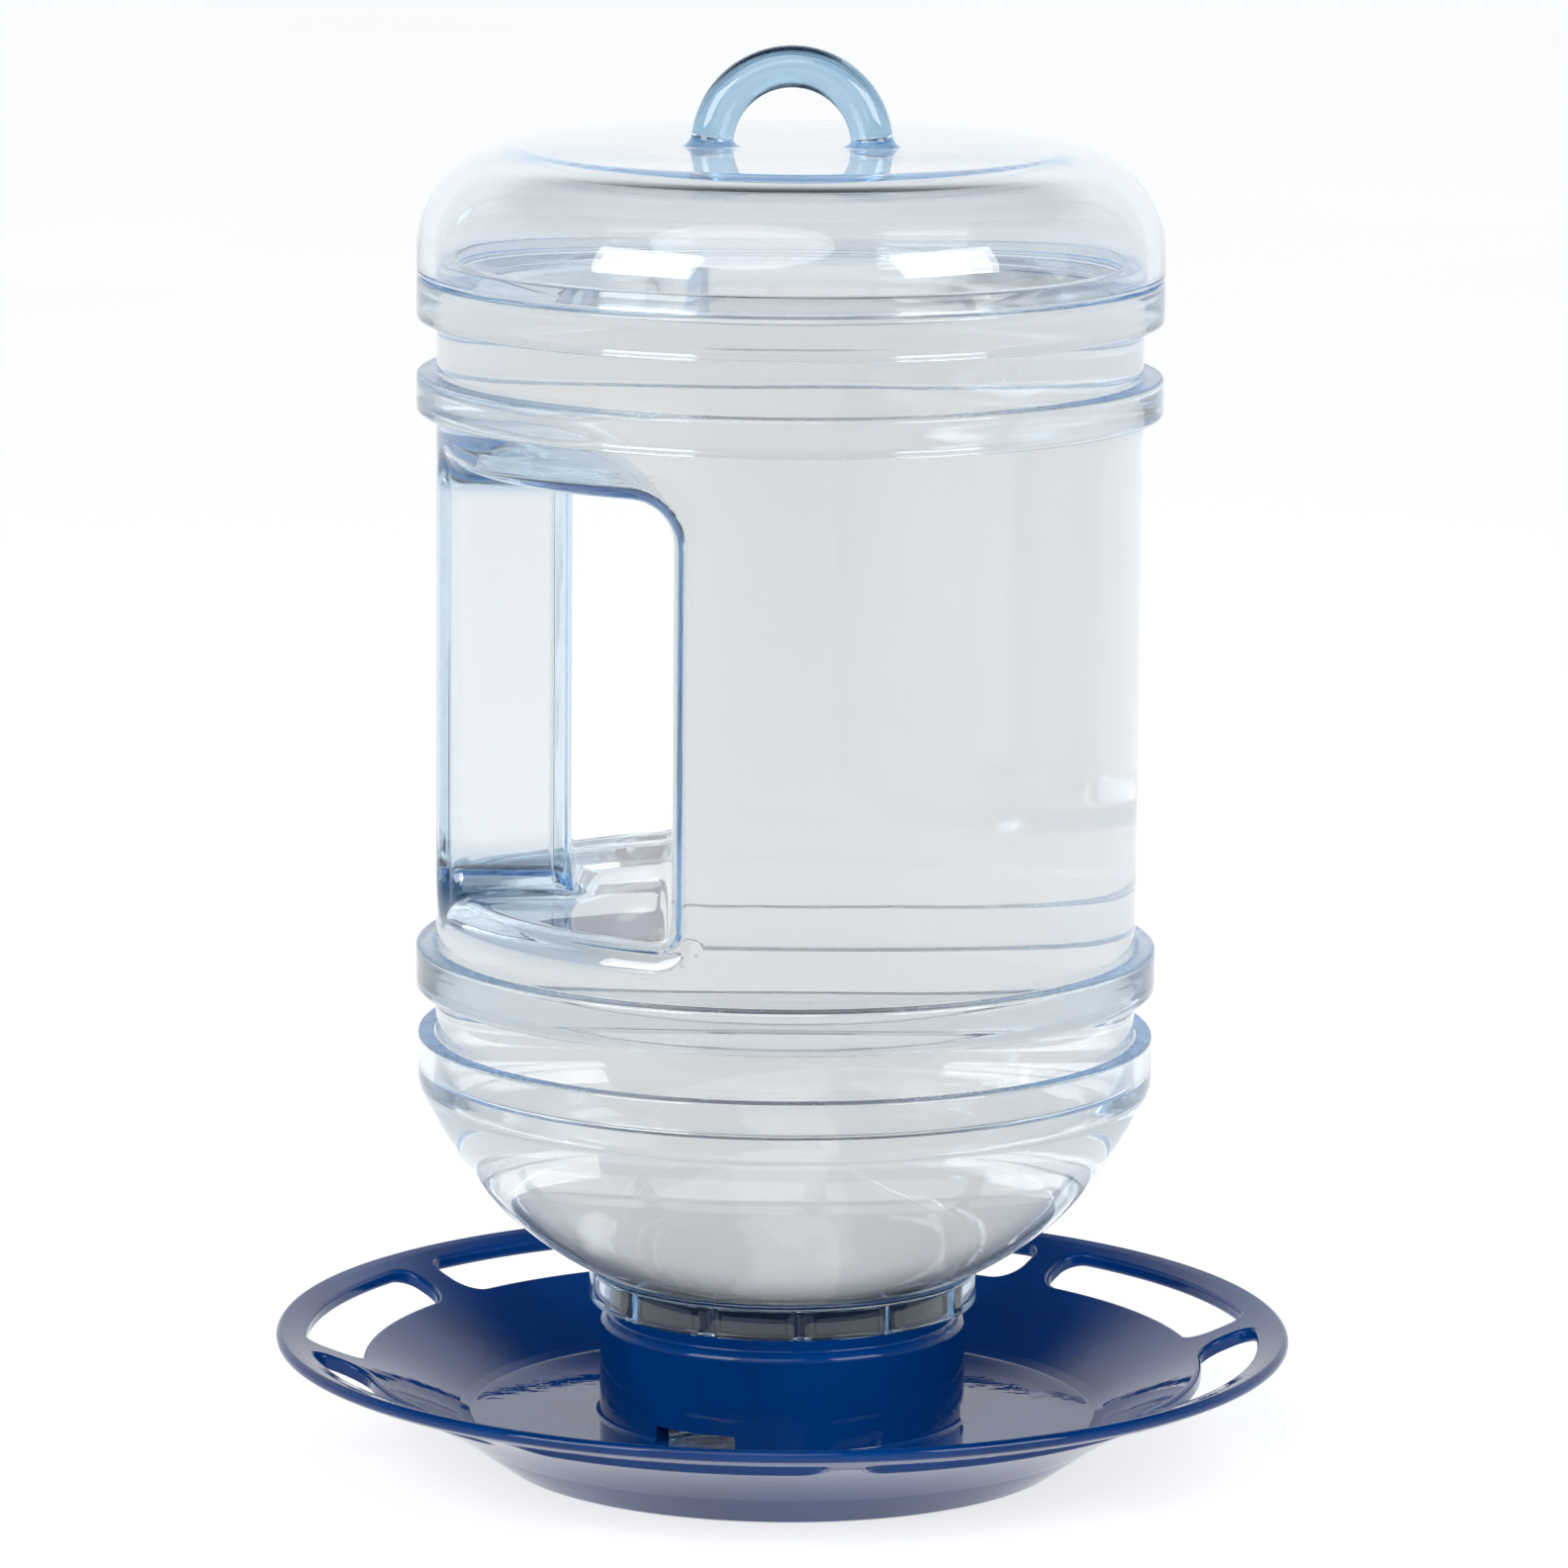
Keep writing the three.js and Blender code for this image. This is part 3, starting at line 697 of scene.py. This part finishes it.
def tray_sections():
    """The tray's section in two open stretches: underside to the band, and over the rim and in to the axis."""
    low, high = SLOT_BAND
    at = lambda r, size: math.degrees(math.acos((r - DISH_CENTRE[0]) / size))
    under = DISH_RADIUS - TRAY_WALL
    foot = arc((43.7, 2.2), 2.2, -90, -49, 8)
    start = math.radians(DISH_FIRST)
    first = DISH_CENTRE + under * np.array([math.cos(start), math.sin(start)])
    ground = outline([
        (0, FLOOR - TRAY_WALL, 0),
        (36, FLOOR - TRAY_WALL, 1.2),
        (38, 0, 0.6),
        foot,
        (first[0], first[1], 3),
        arc(DISH_CENTRE, under, DISH_FIRST, at(low, under), 24)[1:-1],
        (low, dish(low, 0)[0], 0),
    ], closed=False)
    hem = arc((RIM_RADIUS - RIM_EDGE, RIM_HEIGHT - RIM_EDGE), RIM_EDGE, -78, 78, 14)
    rim = outline([
        (high, dish(high, 0)[0], 0),
        arc(DISH_CENTRE, under, at(high, under), DISH_LAST + 0.6, 5)[1:-1],
        (hem[0, 0], hem[0, 1], 0.8),
        hem[1:-1],
        (hem[-1, 0], hem[-1, 1], 0.8),
        arc(DISH_CENTRE, DISH_RADIUS, DISH_LAST + 0.4, at(high, DISH_RADIUS), 5)[1:-1],
        (high, dish(high, 1)[0], 0),
    ], closed=False)
    wall = np.stack([np.full(50, COLLAR_BORE), np.linspace(NECK_TOP, PORT_TOP, 52)[1:-1]], 1)
    top = outline([
        (low, dish(low, 1)[0], 0),
        arc(DISH_CENTRE, DISH_RADIUS, at(low, DISH_RADIUS), DISH_FIRST, 24)[1:-1],
        (DISH_START[0], DISH_START[1], 1.2),
        (48.8, FLOOR, 1.6),
        (COLLAR, FLOOR, 0.8),
        np.array([[COLLAR, PORT_TOP]]),
        (COLLAR, COLLAR_TOP, 1.2),
        (NECK, COLLAR_TOP, 0.4),
        (NECK, NECK_TOP, 0.4),
        (COLLAR_BORE, NECK_TOP, 0.4),
        wall,
        np.array([[COLLAR_BORE, PORT_TOP]]),
        (COLLAR_BORE, FLOOR, 0.3),
        (0, FLOOR, 0),
    ], closed=False)
    return ground, rim, top


def tray_moulding():
    """The whole tray: its section turned about Z, with ports through the collar and slots in the flange."""
    points, normals, faces, flat = [], [], [], []

    def add(place, facing):
        first = sum(len(p) for p in points)
        points.append(place.reshape(-1, 3))
        normals.append(facing.reshape(-1, 3))
        return first

    port = [in_port(a) for a in ANGLES + np.pi / STEPS]
    for index, (profile, facing) in enumerate(tray_sections()):
        if index == 0:
            profile, facing = profile[1:], facing[1:]
        if index == 2:
            profile, facing = profile[:-1], facing[:-1]
        place, turned_n = turned(profile, facing, ANGLES)
        if index == 2:
            on_bore = (np.abs(profile[:, 0] - COLLAR_BORE) < 0.05) & (profile[:, 1] > PORT_TOP + 0.3)
            on_bore &= profile[:, 1] < 23.8
            bead = thread(ANGLES[:, None] % TURN, profile[None, :, 1], 14.1) * on_bore
            place[..., 0] -= bead * np.cos(ANGLES)[:, None]
            place[..., 1] -= bead * np.sin(ANGLES)[:, None]
            moved = bead > 1e-6
            for axis in (0, 1):
                moved |= np.roll(moved, 1, axis) | np.roll(moved, -1, axis)
            turned_n[moved] = grid_normals(place)[moved]
        first = add(place, turned_n)
        n = len(profile)
        if index == 2:
            gap = port_columns(profile)
            for j in range(STEPS):
                a, b = first + j * n, first + ((j + 1) % STEPS) * n
                for i in range(n - 1):
                    if port[j] and (gap[0] <= i < gap[1] or gap[2] <= i < gap[3]):
                        continue
                    faces.append((a + i, b + i, b + i + 1, a + i + 1))
                if port[j]:
                    for x, y in ((gap[0], gap[3]), (gap[2], gap[1])):
                        flat.append(len(faces))
                        faces.append((a + x, b + x, b + y, a + y))
                for here, there, at_side in ((port[j], port[j - 1], 0), (port[j - 1], port[j], 1)):
                    if here and not there:
                        ring = [*range(gap[0], gap[1] + 1), *range(gap[2], gap[3] + 1)]
                        side = [a + i for i in ring]
                        flat.append(len(faces))
                        faces.append(tuple(side if at_side else side[::-1]))
        else:
            faces += grid_faces(STEPS, n, first)
        if index != 1:
            end = 0 if index == 0 else n - 1
            under = index == 0
            pole = add(np.array([[0, 0, FLOOR - TRAY_WALL if under else FLOOR]]),
                       np.array([[0, 0, -1 if under else 1]]))
            for j in range(STEPS):
                a, b = first + j * n + end, first + ((j + 1) % STEPS) * n + end
                faces.append((pole, b, a) if under else (pole, a, b))
    rings, rings_n = slot_rings()
    rows, count = rings.shape[:2]
    for sector in range(SECTORS):
        c, s = math.cos(TURN / SECTORS * sector), math.sin(TURN / SECTORS * sector)
        spin = np.array([[c, s, 0], [-s, c, 0], [0, 0, 1]])
        first = add(rings @ spin, rings_n @ spin)
        for r in range(rows - 1):
            for i in range(count):
                k = (i + 1) % count
                a, b = first + r * count, first + (r + 1) * count
                faces.append((a + i, b + i, b + k, a + k))
    return weld("tray_moulding", np.concatenate(points), np.concatenate(normals), faces, flat)


def in_port(angle):
    """Whether an angle is inside one of the collar's three ports."""
    off = (angle - PORT_ANGLE + TURN / 6) % (TURN / 3) - TURN / 6
    return abs(off) < PORT_HALF


def port_columns(profile):
    """Places along the top section where a port's outer and inner openings start and end."""
    radius, level = profile[:, 0], profile[:, 1]
    at = lambda r, z: int(np.argmin(np.hypot(radius - r, level - z)))
    return at(COLLAR + 0.8, FLOOR), at(COLLAR, PORT_TOP), at(COLLAR_BORE, PORT_TOP), at(COLLAR_BORE - 0.3, FLOOR)


def weld(name, points, normals, faces, flat):
    """add_piece after joining points that lie in the same place."""
    key = np.round(points / 0.002).astype(int)
    _, first, back = np.unique(key, axis=0, return_index=True, return_inverse=True)
    back = back.ravel()
    kept, sharp = [], []
    flat = set(flat)
    for index, face in enumerate(faces):
        new = [int(back[v]) for v in face]
        loop = [v for n, v in enumerate(new) if v != new[n - 1]]
        if len(loop) > 2:
            if index in flat:
                sharp.append(len(kept))
            kept.append(tuple(loop))
    return add_piece(name, points[first], normals[first], kept, sharp)


# --- materials ---


def material(name):
    """A new material with its node tree, Principled shader and output."""
    made = bpy.data.materials.new(name)
    made.use_nodes = True
    tree = made.node_tree
    return made, tree, tree.nodes["Principled BSDF"], tree.nodes["Material Output"]


def noise(tree, place, scale, detail, rough=0.5):
    node = tree.nodes.new("ShaderNodeTexNoise")
    node.inputs["Scale"].default_value = scale
    node.inputs["Detail"].default_value = detail
    node.inputs["Roughness"].default_value = rough
    tree.links.new(place, node.inputs["Vector"])
    return node.outputs["Fac"]


def ramp(tree, value, low, high, out_low, out_high):
    """The value's range from low to high mapped smoothly to the output range."""
    node = tree.nodes.new("ShaderNodeMapRange")
    node.interpolation_type = "SMOOTHSTEP"
    for key, number in (("From Min", low), ("From Max", high), ("To Min", out_low), ("To Max", out_high)):
        node.inputs[key].default_value = number
    tree.links.new(value, node.inputs["Value"])
    return node.outputs["Result"]


def combine(tree, kind, a, b):
    node = tree.nodes.new("ShaderNodeMath")
    node.operation = kind
    for socket, value in zip(node.inputs, (a, b)):
        if isinstance(value, (int, float)):
            socket.default_value = value
        else:
            tree.links.new(value, socket)
    return node.outputs[0]


def place_of(tree, stretch=(1, 1, 1)):
    """Object position in metres, stretched."""
    spot = tree.nodes.new("ShaderNodeTexCoord")
    mapping = tree.nodes.new("ShaderNodeMapping")
    mapping.inputs["Scale"].default_value = stretch
    tree.links.new(spot.outputs["Object"], mapping.inputs["Vector"])
    return mapping.outputs["Vector"]


def bumped(tree, height, distance, strength, shader):
    """Relief in the shader's normal."""
    node = tree.nodes.new("ShaderNodeBump")
    node.inputs["Distance"].default_value = distance
    node.inputs["Strength"].default_value = strength
    tree.links.new(height, node.inputs["Height"])
    tree.links.new(node.outputs["Normal"], shader.inputs["Normal"])


def ledges(tree):
    """1 on the level ledges of the barrel's bands, 0 elsewhere."""
    spot = tree.nodes.new("ShaderNodeTexCoord")
    up = tree.nodes.new("ShaderNodeSeparateXYZ")
    tree.links.new(spot.outputs["Normal"], up.inputs["Vector"])
    at = tree.nodes.new("ShaderNodeSeparateXYZ")
    tree.links.new(spot.outputs["Object"], at.inputs["Vector"])
    level = ramp(tree, combine(tree, "ABSOLUTE", up.outputs["Z"], 0), 0.55, 0.75, 0, 1)
    x, y = [combine(tree, "POWER", at.outputs[axis], 2) for axis in "XY"]
    reach = combine(tree, "SQRT", combine(tree, "ADD", x, y), 0)
    outside = ramp(tree, reach, BARREL_RADIUS * MM - 0.0004, BARREL_RADIUS * MM, 0, 1)
    below = ramp(tree, at.outputs["Z"], 0.178, 0.184, 1, 0)
    return combine(tree, "MULTIPLY", combine(tree, "MULTIPLY", level, outside), below)


def blue_tint_and_painted_shade(tree):
    """Where the plastic is tinted bluer: the hanging loop and beside the grip's two ends; on the skirt the half tint
    is painted shade that darkens the band over the seal.
    """
    at = tree.nodes.new("ShaderNodeSeparateXYZ")
    tree.links.new(place_of(tree), at.inputs["Vector"])
    high, side = at.outputs["Z"], at.outputs["X"]
    loop = ramp(tree, high, (DOME_TOP + 0.2) * MM, (DOME_TOP + 2) * MM, 0, 0.9)
    # painted shade: the skirt gets half the blue tint, darkening the band seen over the seal ring
    skirt = ramp(tree, high, (SEAL_HIGH[2] + 1) * MM, (SEAL_HIGH[2] + 2.5) * MM, 0.5, 0)
    floor, ceiling = [
        ramp(tree, combine(tree, "ABSOLUTE", combine(tree, "SUBTRACT", high, level * MM), 0), near, near + 0.005, 1, 0)
        for level, near in ((RECESS_FLOOR, 0.002), (RECESS_CEILING + 2, 0.003))
    ]
    beside = ramp(tree, side, (RECESS_FACE - 16) * MM, (RECESS_FACE - 2) * MM, 0.4, 0)
    recess = combine(tree, "MULTIPLY", beside, combine(tree, "MAXIMUM", floor, ceiling))
    return combine(tree, "MAXIMUM", combine(tree, "MAXIMUM", loop, skirt), recess)


def clear_plastic(name, absorb, density):
    """Clear moulding: glass-like, light blue in its depth, with painted shade on the skirt, faint flow waves, haze and
    rubs.
    """
    made, tree, shader, output = material(name)
    mix = tree.nodes.new("ShaderNodeMix")
    mix.data_type = "RGBA"
    mix.inputs["A"].default_value = (0.915, 0.924, 0.931, 1)
    mix.inputs["B"].default_value = (0.38, 0.58, 0.74, 1)
    # blue tint of the loop and beside the grip, plus painted shade on the skirt
    tree.links.new(blue_tint_and_painted_shade(tree), mix.inputs["Factor"])
    tree.links.new(mix.outputs["Result"], shader.inputs["Base Color"])
    shader.inputs["Transmission Weight"].default_value = 1
    shader.inputs["IOR"].default_value = 1.5
    place = place_of(tree)
    haze = ramp(tree, noise(tree, place, 90, 4, 0.6), 0.35, 0.75, 0.01, 0.04)
    rubs = ramp(tree, noise(tree, place_of(tree, (1, 1, 0.12)), 900, 3, 0.6), 0.66, 0.8, 0, 0.08)
    grained = ledges(tree)
    rough = combine(tree, "ADD", combine(tree, "ADD", haze, rubs), combine(tree, "MULTIPLY", grained, 0.25))
    tree.links.new(rough, shader.inputs["Roughness"])
    waves = noise(tree, place, 28, 1)
    fine = noise(tree, place_of(tree, (1, 1, 0.3)), 260, 2)
    grain = combine(tree, "MULTIPLY", noise(tree, place, 1500, 3, 0.7), combine(tree, "MULTIPLY", grained, 8))
    height = combine(tree, "ADD", combine(tree, "ADD", waves, combine(tree, "MULTIPLY", fine, 0.05)), grain)
    bumped(tree, height, 0.0012, 0.1, shader)
    see_through(tree, shader, output, absorb, density, (0.86, 0.9, 0.93, 1))
    return made


def water(absorb, density):
    """Still water with a faint grey-blue depth."""
    made, tree, shader, output = material("water")
    shader.inputs["Base Color"].default_value = (1, 1, 1, 1)
    shader.inputs["Transmission Weight"].default_value = 1
    shader.inputs["IOR"].default_value = 1.333
    place = place_of(tree)
    tree.links.new(ramp(tree, noise(tree, place, 60, 3), 0.3, 0.7, 0, 0.02), shader.inputs["Roughness"])
    bumped(tree, noise(tree, place, 30, 2), 0.0008, 0.1, shader)
    see_through(tree, shader, output, absorb, density, (0.9, 0.93, 0.95, 1))
    return made


def see_through(tree, shader, output, absorb, density, shade):
    """Absorption inside, and light shadows in place of caustics."""
    volume = tree.nodes.new("ShaderNodeVolumeAbsorption")
    volume.inputs["Color"].default_value = (*absorb, 1)
    volume.inputs["Density"].default_value = density
    tree.links.new(volume.outputs["Volume"], output.inputs["Volume"])
    clear = tree.nodes.new("ShaderNodeBsdfTransparent")
    clear.inputs["Color"].default_value = shade
    path = tree.nodes.new("ShaderNodeLightPath")
    mix = tree.nodes.new("ShaderNodeMixShader")
    tree.links.new(path.outputs["Is Shadow Ray"], mix.inputs[0])
    tree.links.new(shader.outputs["BSDF"], mix.inputs[1])
    tree.links.new(clear.outputs["BSDF"], mix.inputs[2])
    tree.links.new(mix.outputs["Shader"], output.inputs["Surface"])


def blue_plastic():
    """Glossy deep blue moulding with a faint orange peel and slight clouding."""
    made, tree, shader, _ = material("blue_plastic")
    place = place_of(tree)
    cloud = noise(tree, place, 45, 3)
    mix = tree.nodes.new("ShaderNodeMix")
    mix.data_type = "RGBA"
    mix.inputs["A"].default_value = (0.0002, 0.020, 0.095, 1)
    mix.inputs["B"].default_value = (0.0003, 0.029, 0.135, 1)
    tree.links.new(ramp(tree, cloud, 0.3, 0.7, 0, 1), mix.inputs["Factor"])
    tree.links.new(mix.outputs["Result"], shader.inputs["Base Color"])
    shader.inputs["IOR"].default_value = 1.5
    shader.inputs["Specular IOR Level"].default_value = 0.27
    smudge = ramp(tree, noise(tree, place, 70, 4, 0.6), 0.3, 0.75, 0.02, 0.06)
    tree.links.new(smudge, shader.inputs["Roughness"])
    peel = combine(tree, "ADD", noise(tree, place, 420, 2), noise(tree, place, 60, 1))
    bumped(tree, peel, 0.0004, 0.06, shader)
    return made


def dark_rubber():
    made, tree, shader, _ = material("dark_rubber")
    place = place_of(tree)
    grain = noise(tree, place, 900, 4)
    mix = tree.nodes.new("ShaderNodeMix")
    mix.data_type = "RGBA"
    mix.inputs["A"].default_value = (0.002, 0.004, 0.009, 1)
    mix.inputs["B"].default_value = (0.005, 0.009, 0.018, 1)
    tree.links.new(grain, mix.inputs["Factor"])
    tree.links.new(mix.outputs["Result"], shader.inputs["Base Color"])
    tree.links.new(ramp(tree, grain, 0.3, 0.7, 0.45, 0.65), shader.inputs["Roughness"])
    shader.inputs["Specular IOR Level"].default_value = 0.12
    bumped(tree, grain, 0.0002, 0.3, shader)
    return made


def pale_floor():
    made, tree, shader, _ = material("pale_floor")
    place = place_of(tree)
    tone = ramp(tree, noise(tree, place, 3, 2), 0.3, 0.7, 0, 1)
    mix = tree.nodes.new("ShaderNodeMix")
    mix.data_type = "RGBA"
    mix.inputs["A"].default_value = (0.44, 0.44, 0.445, 1)
    mix.inputs["B"].default_value = (0.46, 0.46, 0.46, 1)
    tree.links.new(tone, mix.inputs["Factor"])
    tree.links.new(mix.outputs["Result"], shader.inputs["Base Color"])
    shader.inputs["Emission Color"].default_value = (1, 1, 1, 1)
    shader.inputs["Emission Strength"].default_value = 0.71
    shader.inputs["Roughness"].default_value = 0.9
    shader.inputs["Specular IOR Level"].default_value = 0.1
    return made


# --- stage ---


def floor():
    """Large pale disc that the tray stands on."""
    reach, count = 9.0, 96
    angles = TURN * np.arange(count) / count
    mesh = bpy.data.meshes.new("floor")
    corners = [(reach * math.cos(a), reach * math.sin(a), -0.0002) for a in angles]
    mesh.from_pydata(corners, [], [tuple(range(count))])
    disc = bpy.data.objects.new("floor", mesh)
    bpy.context.scene.collection.objects.link(disc)
    mesh.materials.append(pale_floor())


def softbox(name, place, aim, size, power):
    """A rectangular lamp at a place, facing the aim."""
    lamp = bpy.data.lights.new(name, "AREA")
    lamp.shape = "RECTANGLE"
    lamp.size, lamp.size_y = size
    lamp.energy = power
    box = bpy.data.objects.new(name, lamp)
    box.location = place
    box.rotation_euler = (Vector(aim) - Vector(place)).to_track_quat("-Z", "Y").to_euler()
    bpy.context.scene.collection.objects.link(box)


def studio():
    """Pale backdrop, dimmer sides and front, dark ceiling, a soft sun from the front and two softboxes."""
    world = bpy.data.worlds.new("studio")
    bpy.context.scene.world = world
    world.use_nodes = True
    tree = world.node_tree
    back = tree.nodes["Background"]
    spot = tree.nodes.new("ShaderNodeTexCoord")
    split = tree.nodes.new("ShaderNodeSeparateXYZ")
    tree.links.new(spot.outputs["Generated"], split.inputs["Vector"])
    backdrop = ramp(tree, split.outputs["Y"], 0.0, 0.7, 0, 1)
    ceiling = ramp(tree, split.outputs["Z"], 0.43, 0.69, 1, 0.06)
    strength = combine(tree, "MULTIPLY", ramp(tree, backdrop, 0, 1, 0.62, 1.02), ceiling)
    tree.links.new(strength, back.inputs["Strength"])
    mix = tree.nodes.new("ShaderNodeMix")
    mix.data_type = "RGBA"
    mix.inputs["A"].default_value = (0.6, 0.78, 1, 1)
    mix.inputs["B"].default_value = (0.98, 0.99, 1, 1)
    tree.links.new(backdrop, mix.inputs["Factor"])
    tree.links.new(mix.outputs["Result"], back.inputs["Color"])
    aim = (0, 0, 0.11)
    softbox("softbox_left", (-0.95, -0.9, 0.62), aim, (0.78, 0.6), 12)
    softbox("softbox_right", (0.98, -0.82, 0.66), aim, (0.76, 0.58), 10.5)
    lamp = bpy.data.lights.new("sun", "SUN")
    lamp.energy = 1.25
    lamp.angle = math.radians(50)
    sun = bpy.data.objects.new("sun", lamp)
    sun.rotation_euler = Vector((-0.25, -0.75, 0.75)).to_track_quat("Z", "Y").to_euler()
    bpy.context.scene.collection.objects.link(sun)


def camera():
    """Long lens 1.3 m in front, 0.335 m up, looking 9.98 degrees down."""
    lens = bpy.data.cameras.new("camera")
    lens.lens, lens.sensor_width = 195.26, 36
    lens.shift_x = -0.0018
    lens.clip_end = 50
    eye = bpy.data.objects.new("camera", lens)
    eye.location = (0, -1.3, 0.3352)
    pitch, roll = math.radians(90 - 9.98), math.radians(0.47)
    turn = Euler((pitch, 0, 0)).to_matrix() @ Euler((0, 0, roll)).to_matrix()
    eye.rotation_euler = turn.to_euler()
    bpy.context.scene.collection.objects.link(eye)
    bpy.context.scene.camera = eye


camera()
floor()
studio()
bpy.context.scene.view_settings.view_transform = "Standard"
bpy.context.scene.cycles.max_bounces = 96
bpy.context.scene.cycles.transmission_bounces = 96
bpy.context.scene.cycles.glossy_bounces = 96

clear = clear_plastic("clear_plastic", (0.25, 0.62, 0.88), 15)
for piece, body, node, slot, looks in (
    (tray_moulding(), "base", "tray_base", "blue_plastic", blue_plastic()),
    (seal_ring(), "seal", "neck_seal", "dark_rubber", dark_rubber()),
    (bowl_shell(), "reservoir", "lower_bowl", "clear_plastic", clear),
    (barrel_shell(), "reservoir", "barrel", "clear_plastic", clear),
    (dome_shell(), "reservoir", "dome_cap", "clear_plastic", clear),
):
    piece.data.materials.append(looks)
    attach(piece, body)
    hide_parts(node)

filling = water_body()
filling.data.materials.append(water((0.86, 0.835, 0.81), 12))
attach(filling, "reservoir")
